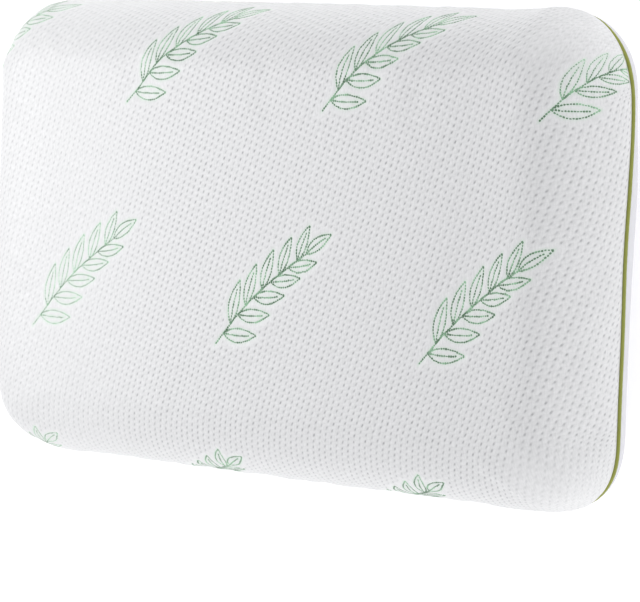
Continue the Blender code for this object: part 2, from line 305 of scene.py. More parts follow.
def seam_along(rim):
    """Length of side from the top face's edge to the seam, which wavers a little."""
    x, y = rim[..., 0], rim[..., 1]
    waver = 0.0007 * np.sin(31 * x + 23 * y) + 0.0005 * np.sin(67 * x - 49 * y)
    return SEAM_ALONG - waves_at(rim, SEAM_SHIFTS) + waver


def lean(points):
    """The ends' slight lean, so that they aren't quite square to the long sides."""
    shift = TAPER * points[..., 0] * points[..., 1] / (COVER_HIGH.x * COVER_HIGH.y)
    return points + stacked(shift, 0.0, 0.0)


def lay(a, b, top=True):
    """Places of flat cloth points on the pillow, by the top panel or by the bottom panel."""
    distance, direction, rim = beyond_face(a, b)
    along = distance if top else WHOLE_SIDE - distance
    reach = np.interp(along, ALONG, REACH) * fullness(direction, rim)
    height = np.interp(along, ALONG, HEIGHT)
    tuck = SEAM_TUCK * np.maximum(1 - np.abs(along - seam_along(rim)) / TUCK_RUN, 0.0) ** 2
    x = a + direction[..., 0] * (reach - distance - tuck)
    y = b + direction[..., 1] * (reach - distance - tuck)
    if top:
        rise_x = np.maximum(1 - (x / COVER_HIGH.x) ** 2, 0.0)
        rise_y = np.maximum(1 - (y / COVER_HIGH.y) ** 2, 0.0)
        waves = (CREST * bell(np.abs(x) - CREST_PLACE, CREST_WIDTH)
                 - HOLLOW * bell(np.abs(x) - HOLLOW_PLACE, HOLLOW_WIDTH))
        waves = waves * rise_y * (1 - ease(0.020, 0.070, distance))
        height = height + CROWN * rise_x * rise_y + waves
    points = lean(stacked(x, y, height))
    return points if top else flatten_at_zip(points)


def flatten_at_zip(points):
    """Draw the bottom panel in to the zip's plane, where the zip is sewn to it."""
    local = (points - np.array(ZIP_PLACE)) @ ZIP_TURN
    past_end = np.maximum(np.abs(local[..., 0]) - SLOT_HALF_LENGTH, 0.0)
    past_side = np.maximum(np.abs(local[..., 1]) - TOPSTITCH_PLACE, 0.0)
    near = 1 - ease(0.001, 0.012, np.hypot(past_end * 0.5, past_side))
    near = near * (local[..., 2] > -0.02)
    above = local[..., 2] - SLOT_LIFT
    return points - np.array(ZIP_OUT) * (above * near)[..., None]


def surface(a, b, lift=0.0, top=True):
    """Places over flat cloth points, at a height over the draped cloth."""
    along_a = lay(a + SLOPE_STEP, b, top) - lay(a - SLOPE_STEP, b, top)
    along_b = lay(a, b + SLOPE_STEP, top) - lay(a, b - SLOPE_STEP, top)
    normal = unit(np.cross(along_a, along_b) if top else np.cross(along_b, along_a))
    return lay(a, b, top) + normal * (lift + drape_at(a, b, top))[..., None]


settled = []  # the simulated cloth's coarse grid, once it is made


def spline_weights(share):
    """Weights of the four nearest grid lines, for a smooth reading between the middle two."""
    rest = 1 - share
    return (rest ** 3 / 6, (3 * share ** 3 - 6 * share ** 2 + 4) / 6,
            (3 * rest ** 3 - 6 * rest ** 2 + 4) / 6, share ** 3 / 6)


def drape_at(a, b, top):
    """How far the settled cloth stands off the plain form."""
    found = np.zeros(np.shape(a))
    if not top or not settled:
        return found
    columns, rows, heights = settled
    place_a = (a - columns[0]) / (columns[1] - columns[0])
    place_b = (b - rows[0]) / (rows[1] - rows[0])
    first_a, first_b = np.floor(place_a).astype(int), np.floor(place_b).astype(int)
    for step_a, share_a in enumerate(spline_weights(place_a - first_a)):
        for step_b, share_b in enumerate(spline_weights(place_b - first_b)):
            i = np.clip(first_a + step_a - 1, 0, len(columns) - 1)
            j = np.clip(first_b + step_b - 1, 0, len(rows) - 1)
            found = found + share_a * share_b * heights[i, j]
    return found


def panel_grid(columns, rows, top):
    """A panel's flat grid, from its column and row places. Its outer points sit on the seam.

    Gives the kept points' flat coordinates, their column and row numbers, and the faces.
    """
    a, b = np.meshgrid(columns, rows, indexing="ij")
    column, row = np.meshgrid(np.arange(len(columns)), np.arange(len(rows)), indexing="ij")
    distance, direction, rim = beyond_face(a, b)
    edge = seam_along(rim) if top else WHOLE_SIDE - seam_along(rim)
    half_step = (columns[1] - columns[0] + rows[1] - rows[0]) / 4
    kept = distance <= edge + half_step
    moved = np.where(kept & (distance > edge - half_step), edge - distance, 0.0)
    a = a + direction[..., 0] * moved
    b = b + direction[..., 1] * moved
    number = np.full(a.shape, -1)
    number[kept] = np.arange(kept.sum())
    corners = stacked(number[:-1, :-1], number[1:, :-1], number[1:, 1:], number[:-1, 1:])
    corners = corners.reshape(-1, 4)
    held = (corners >= 0).sum(axis=1)
    faces = corners[held == 4].tolist()
    faces += [[n for n in four if n >= 0] for four in corners[held == 3].tolist()]
    return stacked(a[kept], b[kept]), column[kept], row[kept], faces


def centred_steps(half_length, step):
    """Even places from the middle out to both sides."""
    count = int(half_length / step) + 1
    return np.arange(-count, count + 1) * step


# ---- Leaf sprigs ----
SPRIG_COLUMN = 0.236  # spacing of the sprigs along the cloth
SPRIG_ROW = 0.199
SPRIG_START = Vector((-0.035, -0.085))
SPRIG_ANGLE = radians(38.5)
SPRIG_LENGTH = 0.166
LEAF_PAIRS = 5
THREAD_STITCH = 0.0024  # from one stitch of green thread to the next


def spin(angle):
    """A turn by an angle, for rows of flat points to be multiplied by."""
    return np.array([[cos(angle), sin(angle)], [-sin(angle), cos(angle)]])


def leaf_outline(length, width, bend):
    """One leaf along +X from its stalk: its two edges and its midrib, as lines of points."""
    t = np.linspace(0.0, 1.0, 25)
    x = length * t
    spine = bend * length * t * t
    half = width / 2 * np.sin(pi * t ** 0.85) ** 0.9
    midrib = t < 0.8
    return [stacked(x, spine + half), stacked(x, spine - half), stacked(x[midrib], spine[midrib])]


def sprig_lines():
    """A slender sprig along +X from its cut end, with leaves in turn on its two sides."""
    t = np.linspace(0.0, 1.0, 60)
    stem_length = SPRIG_LENGTH * 0.80
    stem_x = stem_length * t
    stem_y = 0.005 * np.sin(pi * t * 1.1) - 0.002
    lines = [stacked(stem_x, stem_y)]
    for pair in range(LEAF_PAIRS * 2 + 1):
        side = 1 if pair % 2 else -1
        share = 0.10 + 0.90 * pair / (LEAF_PAIRS * 2)
        size = 0.040 - 0.008 * share
        if pair == LEAF_PAIRS * 2:
            turn, side, size = 0.0, 1, SPRIG_LENGTH - stem_length
        else:
            turn = side * radians(46 - 14 * share)
        root = np.array([np.interp(share, t, stem_x), np.interp(share, t, stem_y)])
        for line in leaf_outline(size, size * 0.30, -0.12 * side):
            lines.append(root + line @ spin(turn))
    return lines


def sprig_places():
    """Cut ends of all the sprigs that reach the top panel, in flat coordinates."""
    places = []
    for row in range(-2, 3):
        for column in range(-3, 4):
            a = SPRIG_START.x + SPRIG_COLUMN * (column + 0.5 * (row % 2))
            places.append(np.array([a, SPRIG_START.y + SPRIG_ROW * row]))
    return places


def all_sprig_lines():
    """The lines of every sprig, in flat coordinates, each evenly stepped by one stitch."""
    lines = []
    for line in sprig_lines():
        steps = np.hypot(*np.diff(line, axis=0).T)
        length = np.concatenate([[0.0], np.cumsum(steps)])
        count = max(int(length[-1] / THREAD_STITCH), 2)
        marks = np.linspace(0.0, length[-1], count + 1)
        even = stacked(*[np.interp(marks, length, line[:, axis]) for axis in (0, 1)])
        lines += [place + even @ spin(SPRIG_ANGLE) for place in sprig_places()]
    return lines


def on_panel(flat, margin):
    """Whether flat points lie on the top panel, by a margin from its seam."""
    distance, _, rim = beyond_face(*flat.T)
    return distance < seam_along(rim) - margin


def near_lines(flat, marks, reach):
    """Distance from each flat point to the nearest mark, or the reach where none is as near."""
    tree = KDTree(len(marks))
    for index, (a, b) in enumerate(marks.tolist()):
        tree.insert((a, b, 0.0), index)
    tree.balance()
    return np.array([min(tree.find((a, b, 0.0))[2], reach) for a, b in flat.tolist()])


def stitch_shapes(centres, along, across, up, half_length, half_width, height):
    """Closed little stitches, each a six-sided foot with a rounded ridge, as points and faces."""
    foot = [(1.0, 0.0), (0.55, 0.85), (-0.55, 0.85), (-1.0, 0.0), (-0.55, -0.85), (0.55, -0.85)]
    ridge = [(0.5, 0.0), (-0.5, 0.0)]
    corners = [centres + along * (x * half_length) + across * (y * half_width) - up * (height * 0.5)
               for x, y in foot]
    corners += [centres + along * (x * half_length) + up * height for x, y in ridge]
    points = np.stack(corners, axis=1).reshape(-1, 3)
    shape = [(5, 4, 3, 2, 1, 0), (0, 1, 6), (1, 2, 7, 6), (2, 3, 7), (3, 4, 7), (4, 5, 6, 7),
             (5, 0, 6)]
    starts = range(0, len(points), len(corners))
    return points, [[start + corner for corner in face] for start in starts for face in shape]


# ---- Materials ----


class Look:
    """A Principled material, with the patterns that make its colour and its relief.

    Patterns are shader sockets. Their sizes are in millimetres, over the flat cloth where the
    material is a cloth's, and through the piece where it isn't.
    """

    def __init__(self, name, color, roughness, cloth=False, **sockets):
        self.material = bpy.data.materials.new(name)
        self.material.use_nodes = True
        self.tree = self.material.node_tree
        self.shader = self.tree.nodes["Principled BSDF"]
        sockets = {"Base_Color": (*color, 1.0), "Roughness": roughness, **sockets}
        for socket, value in sockets.items():
            self.shader.inputs[socket.replace("_", " ")].default_value = value
        metres = (self.node("ShaderNodeUVMap", uv_map="cloth").outputs[0] if cloth
                  else self.node("ShaderNodeTexCoord").outputs["Object"])
        self.place = self.node("ShaderNodeVectorMath", {0: metres}, operation="SCALE",
                               Scale=1000.0).outputs[0]

    def node(self, kind, links=None, **settings):
        """A node. Settings name its properties or sockets; links say where inputs come from."""
        node = self.tree.nodes.new(kind)
        for name, value in settings.items():
            if name in node.bl_rna.properties:
                setattr(node, name, value)
            else:
                node.inputs[name.replace("_", " ")].default_value = value
        for name, source in (links or {}).items():
            self.tree.links.new(source, node.inputs[name])
        return node

    def put(self, socket, value):
        """Feed an input from another socket, or give it a number or a colour."""
        if isinstance(value, bpy.types.NodeSocket):
            self.tree.links.new(value, socket)
        else:
            socket.default_value = value if isinstance(value, (int, float)) else (*value, 1.0)

    def mix(self, share, first, second):
        """The first colour, with a share of the second."""
        node = self.node("ShaderNodeMix", data_type="RGBA", clamp_factor=True)
        for index, value in ((0, share), (6, first), (7, second)):
            self.put(node.inputs[index], value)
        return node.outputs[2]

    def calc(self, operation, first, second=0.0):
        """One step of arithmetic."""
        node = self.node("ShaderNodeMath", operation=operation)
        for socket, value in zip(node.inputs, (first, second)):
            self.put(socket, value)
        return node.outputs[0]

    def plus(self, first, second):
        return self.calc("ADD", first, second)

    def times(self, first, second):
        return self.calc("MULTIPLY", first, second)

    def spread(self, value, low, high):
        """The value, with its range from low to high spread to run from 0 to 1."""
        return self.node("ShaderNodeMapRange", {"Value": value}, From_Min=low,
                         From_Max=high).outputs[0]

    def value(self, name):
        """A number that the mesh holds on each point."""
        return self.node("ShaderNodeAttribute", attribute_name=name).outputs["Fac"]

    def wave(self, direction, spacing, shift=0.0):
        """A wave, from -1 to 1, that repeats along a direction at a spacing."""
        dot = self.node("ShaderNodeVectorMath", {0: self.place}, operation="DOT_PRODUCT")
        dot.inputs[1].default_value = direction
        turn = self.times(dot.outputs["Value"], 2 * pi / spacing)
        return self.calc("SINE", self.plus(turn, shift))

    def share(self, wave, most):
        """A mixing share, from 0 up to twice the most, out of a wave."""
        return self.times(self.plus(wave, 1.0), most)

    def noise(self, size, detail=2.0, place=None, **settings):
        """Soft noise, from 0 to 1."""
        place = self.place if place is None else place
        return self.node("ShaderNodeTexNoise", {"Vector": place}, Scale=1.0 / size, Detail=detail,
                         **settings).outputs["Fac"]

    def knit(self, wale, course):
        """Height of a plain knit: columns of slanted loops, in rows."""
        slants = self.calc("MAXIMUM", self.wave((0.55, 1, 0), course),
                           self.wave((-0.55, 1, 0), course))
        return self.plus(self.times(self.wave((1, 0, 0), wale), 0.25), self.times(slants, 0.25))

    def finish(self, color, height=None, depth=0.0, strength=1.0):
        """Give the material its colour and, at a depth in metres, its relief."""
        self.tree.links.new(color, self.shader.inputs["Base Color"])
        if height is not None:
            bump = self.node("ShaderNodeBump", {"Height": height}, Strength=strength,
                             Distance=depth)
            self.tree.links.new(bump.outputs[0], self.shader.inputs["Normal"])
        return self.material


def dimple_shape(look):
    """1 in the middle of each tucked stitch, and below 0 on the cloth between them."""
    waves = [(0.56, DIMPLE_SKIP, -1), (-0.20, 1, DIMPLE_SKIP),
             (0.44, 1 - DIMPLE_SKIP, DIMPLE_SKIP + 1), (0.20, DIMPLE_SKIP + 1, DIMPLE_SKIP - 1)]
    total = 0.0
    for share, columns, rows in waves:
        rate = Vector((columns / STITCH_X, rows / STITCH_Y)) / (1000 * DIMPLE_REPEAT)
        wave = look.wave((*rate.normalized(), 0), 1 / rate.length, pi / 2)
        total = look.plus(look.times(wave, share), total)
    return total


def dimpled_knit_material():
    """White jacquard knit, with painted shade greying its dimples, and pale green by the sprigs."""
    look = Look("dimpled_knit", (0.86, 0.86, 0.86), 0.42, cloth=True, Sheen_Weight=0.10,
                Sheen_Roughness=0.5, Specular_IOR_Level=0.30)
    white = look.mix(look.noise(45.0), (0.882, 0.878, 0.884), (0.906, 0.903, 0.908))
    drawn_out = look.node("ShaderNodeMapping", {"Vector": look.place}, Scale=(1.0, 0.28, 1.0))
    grain = look.spread(look.noise(1.5, 1.0, drawn_out.outputs[0]), 0.3, 0.7)
    yarn = look.mix(look.times(grain, 0.62), white, (0.74, 0.74, 0.74))
    dimples = look.times(dimple_shape(look), look.value("tucked"))
    uneven = look.plus(look.times(look.noise(4.0), 0.9), 0.15)
    dark = look.times(dimples, uneven)
    # Painted shade: the dimples' colour is darkened towards grey, for the shade in their hollows.
    painted_dimple_shade = look.calc("POWER", look.calc("MAXIMUM", dark, 0.0), 1.6)
    yarn_with_dimple_shade = look.mix(look.times(painted_dimple_shade, 1.9), yarn, (0.44, 0.44, 0.45))
    tinted = look.mix(look.times(look.value("green"), 0.55), yarn_with_dimple_shade, (0.66, 0.84, 0.68))
    relief = look.calc("SUBTRACT", look.times(grain, -0.12), look.times(dark, 0.42))
    return look.finish(tinted, relief, 0.0016, 0.6)


def plain_knit_material():
    """Smooth greyish-lavender warp knit of the bottom panel."""
    look = Look("plain_knit", (0.78, 0.77, 0.82), 0.88, cloth=True, Sheen_Weight=0.15,
                Sheen_Roughness=0.5, Specular_IOR_Level=0.25)
    base = look.mix(look.noise(30.0), (0.820, 0.815, 0.855), (0.855, 0.852, 0.880))
    columns = look.wave((1, 0, 0), 1.3)
    lined = look.mix(look.share(columns, 0.05), base, (0.66, 0.66, 0.71))
    height = look.plus(look.times(columns, 0.35), look.knit(1.3, 1.1))
    return look.finish(lined, height, 0.00025, 0.6)


def piping_material():
    """Olive bias tape, with its twill on the slant."""
    look = Look("piping_tape", (0.33, 0.37, 0.07), 0.75, cloth=True, Sheen_Weight=0.25,
                Sheen_Roughness=0.4, Specular_IOR_Level=0.35)
    base = look.mix(look.noise(12.0), (0.290, 0.310, 0.064), (0.375, 0.400, 0.088))
    twill = look.wave((0.7, 0.7, 0), 0.62)
    lined = look.mix(look.share(twill, 0.10), base, (0.50, 0.56, 0.16))
    return look.finish(lined, look.plus(twill, look.noise(2.5)), 0.00010, 0.7)


def sewing_thread_material():
    """Twisted white sewing thread."""
    look = Look("sewing_thread", (0.86, 0.85, 0.88), 0.65, Sheen_Weight=0.2,
                Specular_IOR_Level=0.4)
    shades = look.mix(look.noise(3.0), (0.78, 0.77, 0.80), (0.86, 0.85, 0.88))
    return look.finish(shades, look.wave((0.8, 0.5, 0.6), 0.28), 0.00004, 0.6)


def green_thread_material():
    """Green yarn of the sprigs, which the knit brings up now more and now less."""
    look = Look("green_thread", (0.10, 0.22, 0.12), 0.7, Sheen_Weight=0.15)
    shades = look.mix(look.noise(2.6), (0.060, 0.120, 0.068), (0.19, 0.35, 0.21))
    faded = look.mix(look.spread(look.noise(11.0), 0.43, 0.65), shades, (0.36, 0.62, 0.40))
    return look.finish(faded, look.wave((0.8, 0.5, 0.6), 0.5), 0.00005, 0.6)


def zip_tape_material():
    """Woven polyester tape, in a herringbone."""
    look = Look("zip_tape", (0.80, 0.79, 0.82), 0.7, cloth=True, Sheen_Weight=0.15)
    weave = look.times(look.wave((1, 1, 0), 0.75), look.wave((1, -1, 0), 0.75))
    shades = look.mix(look.share(weave, 0.3), (0.83, 0.82, 0.85), (0.62, 0.61, 0.66))
    return look.finish(shades, weave, 0.00012, 0.7)


def coil_material():
    """Moulded nylon of the zip's coils."""
    look = Look("zip_coil", (0.82, 0.81, 0.84), 0.38, Specular_IOR_Level=0.5)
    return look.finish(look.mix(look.noise(6.0), (0.78, 0.77, 0.81), (0.84, 0.83, 0.86)))


def metal_material():
    """Tumbled nickel plating, with fine scratches."""
    look = Look("zip_metal", (0.62, 0.61, 0.59), 0.28, Metallic=1.0)
    scratches = look.noise(0.4, 6.0, Distortion=1.5)
    rough = look.node("ShaderNodeMapRange", {"Value": scratches}, To_Min=0.22, To_Max=0.42)
    look.put(look.shader.inputs["Roughness"], rough.outputs[0])
    shades = look.mix(scratches, (0.55, 0.54, 0.52), (0.70, 0.69, 0.67))
    return look.finish(shades, scratches, 0.00003, 0.4)


def satin_material():
    """Blank white satin of the care label."""
    look = Look("label_satin", (0.84, 0.84, 0.85), 0.36, cloth=True, Anisotropic=0.5,
                Specular_IOR_Level=0.5)
    weave = look.wave((0, 1, 0), 0.45)
    shades = look.mix(look.share(weave, 0.15), (0.86, 0.86, 0.87), (0.72, 0.72, 0.75))
    return look.finish(shades, weave, 0.00005, 0.5)


def foam_material():
    """Open-cell memory foam."""
    look = Look("memory_foam", (0.83, 0.78, 0.66), 0.95)
    cells = look.node("ShaderNodeTexVoronoi", {"Vector": look.place}, Scale=0.9)
    depth = cells.outputs["Distance"]
    shades = look.mix(depth, (0.72, 0.66, 0.53), (0.86, 0.81, 0.70))
    return look.finish(shades, depth, 0.0006, 0.8)


def jersey_material():
    """Thin white jersey of the inner liner."""
    look = Look("liner_jersey", (0.80, 0.80, 0.79), 0.9)
    shades = look.mix(look.noise(20.0), (0.77, 0.77, 0.76), (0.83, 0.83, 0.82))
    return look.finish(shades, look.knit(0.9, 0.8), 0.00015, 0.6)


def cord_material():
    """Soft twisted filler cord inside the piping."""
    look = Look("cord_fill", (0.80, 0.78, 0.72), 0.9, cloth=True)
    twist = look.wave((0.8, 0.6, 0), 1.6)
    shades = look.mix(look.share(twist, 0.3), (0.80, 0.78, 0.72), (0.60, 0.58, 0.52))
    return look.finish(shades, twist, 0.0002, 0.8)


# ---- The cover ----


def build_top_panel(material, marks):
    """The dimpled top panel, which wraps over the sides to the seam."""
    columns = centred_steps(FACE_X + SEAM_ALONG + GRID_SPARE, STITCH_X)
    rows = centred_steps(FACE_Y + SEAM_ALONG + GRID_SPARE, STITCH_Y)
    flat, column, row, faces = panel_grid(columns, rows, top=True)
    distance, direction, rim = beyond_face(*flat.T)

    # The dimples stop short of the sprigs and the seam. They're shallower where the cloth is
    # stretched: down the sides and at the corners. Over the -X half they're shallower too, and
    # their painted shade is fainter, as painted light for that end's brighter lighting.
    clear = near_lines(flat, marks, 0.0075)
    plain = ease(0.0030, 0.0068, clear)
    slant = 4 * (direction[:, 0] * direction[:, 1]) ** 2
    stretch_and_lit_end = ease(0.0, 0.045, distance) * (0.12 + 0.45 * slant)
    # Painted light: over the -X half the dimples' painted shade is weakened, as if that end were
    # lit brighter.
    stretch_and_lit_end = np.maximum(stretch_and_lit_end, 0.36 * ease(0.05, 0.24, -flat[:, 0]))
    away = ease(0.0, 0.006, seam_along(rim) - distance) * (1 - stretch_and_lit_end)

    tucked, *neighbours = [
        (column + step + DIMPLE_SKIP * (row + skip)) % DIMPLE_REPEAT == 0
        for step, skip in ((0, 0), (1, 0), (-1, 0), (0, 1), (0, -1))]
    rng = np.random.default_rng(7)
    depth = tucked * plain * away * rng.uniform(0.55, 1.25, len(flat))
    raised = np.any(neighbours, axis=0) * plain * away * rng.uniform(0.2, 1.0, len(flat))
    groove = 1 - ease(0.0003, 0.0034, clear)
    quilted = PUFF_HEIGHT * bell(clear - 0.0055, 0.0022) - GROOVE_DEPTH * groove
    points = surface(*flat.T, DIMPLE_RIM * raised - DIMPLE_DEPTH * depth + quilted * away)
    piece = add_piece("cover_top", points, faces, material, "dimpled_knit",
                      replaces=["cover_top_panel"])
    set_uv(piece.data, flat)
    # This mask sets the dimples' painted shade and their bump.
    set_value(piece.data, "tucked", plain * away)
    set_value(piece.data, "green", 1 - ease(0.0004, 0.0026, clear))


def snapped(places, targets, reach=4):
    """The places, with the nearest one moved onto each target and its neighbours eased after it."""
    steps = np.arange(len(places))
    index = [int(np.abs(places - target).argmin()) for target in targets]
    free = np.abs(steps[:, None] - index).min(axis=1) >= reach
    known = np.concatenate([steps[free], index])
    values = np.concatenate([places[free], targets])
    order = known.argsort()
    return np.interp(steps, known[order], values[order]), index


def zip_side_place():
    """Where the zip's middle lies on the bottom panel, in the cloth's coordinate b."""
    b = FACE_Y + np.linspace(0.0, WHOLE_SIDE - SEAM_ALONG, 400)
    places = lay(np.zeros_like(b), b, top=False)
    local = (places - np.array(ZIP_PLACE)) @ ZIP_TURN
    return float(np.interp(0.0, -local[:, 1], b))


def build_bottom_panel(material):
    """The plain bottom panel, with the zip's slot in it and the slot's edges folded under."""
    middle_b = zip_side_place()
    columns = centred_steps(FACE_X + WHOLE_SIDE - SEAM_ALONG + GRID_SPARE, BOTTOM_STEP)
    rows = centred_steps(FACE_Y + WHOLE_SIDE - SEAM_ALONG + GRID_SPARE, BOTTOM_STEP)
    slot_end = SLOT_HALF_LENGTH - TAPER * SLOT_HALF_LENGTH / COVER_HIGH.x
    columns, (left, right) = snapped(columns, (-slot_end, slot_end))
    rows, (low, high) = snapped(rows, (middle_b - SLOT_HALF_WIDTH, middle_b + SLOT_HALF_WIDTH))
    flat, column, row, faces = panel_grid(columns, rows, top=False)
    inside = (column >= left) & (column <= right) & (row >= low) & (row <= high)
    faces = [face[::-1] for face in faces if not all(inside[corner] for corner in face)]
    points = surface(*flat.T, top=False)

    # The slot's edge, once round, and the hem that each ring of points folds further under.
    number = {(c, r): n for n, (c, r) in enumerate(zip(column.tolist(), row.tolist()))}
    loop = np.array([number[c, low] for c in range(left, right)]
                    + [number[right, r] for r in range(low, high)]
                    + [number[c, high] for c in range(right, left, -1)]
                    + [number[left, r] for r in range(high, low, -1)])
    centre = np.array([0.0, middle_b])
    side = (flat[loop] - centre) / (slot_end, SLOT_HALF_WIDTH)
    side = np.where(np.abs(side) > 0.999, np.sign(side), 0.0)
    for shift, sink in ((0.00025, 0.0002), (0.00015, 0.0005), (-0.0012, 0.00058)):
        turned = flat[loop] - side * shift
        new = np.arange(len(points), len(points) + len(loop))
        points = np.concatenate([points, surface(*turned.T, -sink, top=False)])
        flat = np.concatenate([flat, flat[loop]])
        faces += stacked(np.roll(loop, -1), loop, new, np.roll(new, -1)).tolist()
        loop = new
    used = sorted({corner for face in faces for corner in face})
    renumber = np.full(len(points), -1)
    renumber[used] = np.arange(len(used))
    faces = [[int(renumber[corner]) for corner in face] for face in faces]
    piece = add_piece("cover_bottom", points[used], faces, material, "plain_knit",
                      replaces=["cover_bottom_panel"])
    set_uv(piece.data, flat[used])


# ---- The piping ----


def seam_path():
    """Centre line of the piping round the pillow.

    Gives its points, the outward direction at each, and the length of seam as far as each.
    """
    half_x, half_y = FACE_X - FACE_CORNER, FACE_Y - FACE_CORNER
    quarter = (FACE_CORNER + SIDE_REACH) * pi / 2
    ends = np.cumsum([0.0] + [2 * half_y, quarter, 2 * half_x, quarter] * 2)
    count = int(ends[-1] / PIPING_STEP)
    marks = np.arange(count) * ends[-1] / count
    angle = np.interp(marks, ends, np.array([0, 0, 1, 1, 2, 2, 3, 3, 4]) * pi / 2)
    side_x = np.interp(marks, ends, [1, 1, 1, -1, -1, -1, -1, 1, 1])
    side_y = np.interp(marks, ends, [-1, 1, 1, 1, 1, -1, -1, -1, -1])
    directions = stacked(np.cos(angle), np.sin(angle))
    cores = stacked(half_x * side_x, half_y * side_y)
    rim = cores + directions * (FACE_CORNER + SIDE_REACH)
    along = seam_along(rim)
    reach = np.interp(along, ALONG, REACH) * fullness(directions, rim) - PIPING_SINK
    reach -= SIDE_SINK * ease(0.40, 0.85, np.abs(directions[:, 1]))
    flat = cores + directions * (FACE_CORNER + reach)[:, None]
    path = lean(stacked(*flat.T, np.interp(along, ALONG, HEIGHT)))
    return path, stacked(*directions.T, 0.0), marks


def closed_tube(path, outward, radius_at, sides):
    """A closed tube round a level loop. radius_at takes the loop's steps and the ring's angles."""
    ahead = unit(np.roll(path, -1, axis=0) - np.roll(path, 1, axis=0))
    up = unit(np.cross(outward, ahead))
    out = np.cross(ahead, up)
    turn = np.arange(sides) * 2 * pi / sides
    radius = radius_at(np.arange(len(path))[:, None], turn)
    points = (path[:, None] + out[:, None] * (radius * np.cos(turn))[..., None]
              + up[:, None] * (radius * np.sin(turn))[..., None])
    faces = [face[::-1] for face in skin(len(path), sides, closed=True)]
    return points.reshape(-1, 3), faces


def build_piping(tape_material, filler_material):
    """The tape-covered bead, and the filler cord inside it."""
    path, outward, marks = seam_path()
    rng = np.random.default_rng(11)
    soft = np.convolve(np.tile(rng.normal(size=len(path)), 3), np.hanning(9) / 4.5, "same")
    soft = soft[len(path):2 * len(path)]

    def tape_radius(step, turn):
        slant = np.sin(2 * pi * step * PIPING_STEP / TAPE_LAY + turn)
        return PIPING_RADIUS * (1 + 0.020 * slant + 0.018 * soft[step])

    def cord_radius(step, turn):
        return CORD_RADIUS * (1 + 0.08 * np.sin(2 * pi * step * PIPING_STEP / CORD_LAY + 3 * turn))

    for name, node, slot, material, radius, radius_at, sides in (
            ("piping", "piping_sleeve", "piping_tape", tape_material,
             PIPING_RADIUS, tape_radius, 16),
            ("piping_filler", "piping_cord", "cord_fill", filler_material,
             CORD_RADIUS, cord_radius, 9)):
        points, faces = closed_tube(path, outward, radius_at, sides)
        piece = add_piece(name, points, faces, material, slot, replaces=[node])
        around = np.arange(sides) * 2 * pi / sides * radius
        set_uv(piece.data, stacked(np.repeat(marks, sides), np.tile(around, len(path))))


# ---- The sprigs' green thread ----


def build_sprigs(lines, material):
    """Short raised stitches of green thread along the sprigs' lines."""
    starts = np.concatenate([line[:-1] for line in lines])
    ends = np.concatenate([line[1:] for line in lines])
    held = on_panel(starts, 0.003) & on_panel(ends, 0.003)
    starts, ends = starts[held], ends[held]
    ahead = (ends - starts) / 2
    across = unit(ahead[:, ::-1] * (-1, 1))
    each = (len(starts), 1)
    rng = np.random.default_rng(3)
    centre = (starts + ends) / 2 + across * rng.normal(0.0, 0.00012, each)
    place = surface(*centre.T, THREAD_LIFT)
    along = unit(surface(*(centre + ahead).T, THREAD_LIFT) - place)
    up = unit(surface(*centre.T, THREAD_LIFT + 0.001) - place)
    length = np.linalg.norm(ahead, axis=1, keepdims=True) * rng.uniform(0.94, 1.16, each)
    width = 0.00132 * rng.uniform(0.74, 1.12, each)
    points, faces = stitch_shapes(place, along, np.cross(up, along), up, length, width, 0.00030)
    add_piece("leaf_sprigs", points, faces, material, "dimpled_knit")


# ---- Settling the cloth ----
CLOTH_SETTINGS = {
    "quality": 6, "mass": 0.10, "tension_stiffness": 20.0, "compression_stiffness": 20.0,
    "shear_stiffness": 8.0, "bending_stiffness": 0.3, "shrink_min": -0.02, "use_pressure": True,
    "uniform_pressure_force": 2.0, "vertex_group_mass": "sewn"}


def settle_cloth():
    """Let the top panel's cloth settle under a little pressure, sewn down at its seam.

    Only its ripples are kept, on a coarse grid: its broad form is the filled pillow's own.
    """
    columns = centred_steps(FACE_X + SEAM_ALONG + GRID_SPARE, STITCH_X * DRAPE_EVERY)
    rows = centred_steps(FACE_Y + SEAM_ALONG + GRID_SPARE, STITCH_Y * DRAPE_EVERY)
    flat, column, row, faces = panel_grid(columns, rows, top=True)
    rng = np.random.default_rng(5)
    start = surface(*flat.T, rng.normal(0.0, 0.0002, len(flat)))
    plain = surface(*flat.T)
    normal = (surface(*flat.T, 0.001) - plain) / 0.001
    distance, _, rim = beyond_face(*flat.T)
    from_seam = seam_along(rim) - distance

    mesh = bpy.data.meshes.new("settling")
    mesh.from_pydata(start.tolist(), [], faces)
    cloth = bpy.data.objects.new("settling", mesh)
    bpy.context.scene.collection.objects.link(cloth)
    sewn = cloth.vertex_groups.new(name="sewn")
    sewn.add(np.nonzero(from_seam < 0.005)[0].tolist(), 1.0, "REPLACE")
    settings = cloth.modifiers.new("cloth", "CLOTH").settings
    for name, value in CLOTH_SETTINGS.items():
        setattr(settings, name, value)
    settings.effector_weights.gravity = 0.0
    scene = bpy.context.scene
    for number in range(1, SETTLE_FRAMES + 1):
        scene.frame_set(number)
    done = cloth.evaluated_get(bpy.context.evaluated_depsgraph_get()).data
    places = np.zeros(len(done.vertices) * 3)
    done.vertices.foreach_get("co", places)
    scene.frame_set(1)
    bpy.data.objects.remove(cloth)
    bpy.data.meshes.remove(mesh)

    moved = ((places.reshape(-1, 3) - plain) * normal).sum(axis=1)
    heights = np.zeros((len(columns), len(rows)))
    weight = np.zeros_like(heights)
    heights[column, row] = moved
    weight[column, row] = 1.0
    ripples = heights - blurred(heights, 5) / np.maximum(blurred(weight, 5), 1e-6)
    near_seam = np.zeros_like(heights)
    near_seam[column, row] = ease(0.003, 0.014, from_seam)
    ripples = np.clip(ripples * weight * RIPPLE_SHARE, -RIPPLE_LIMIT, RIPPLE_LIMIT) * near_seam
    settled.extend((columns, rows, ripples))


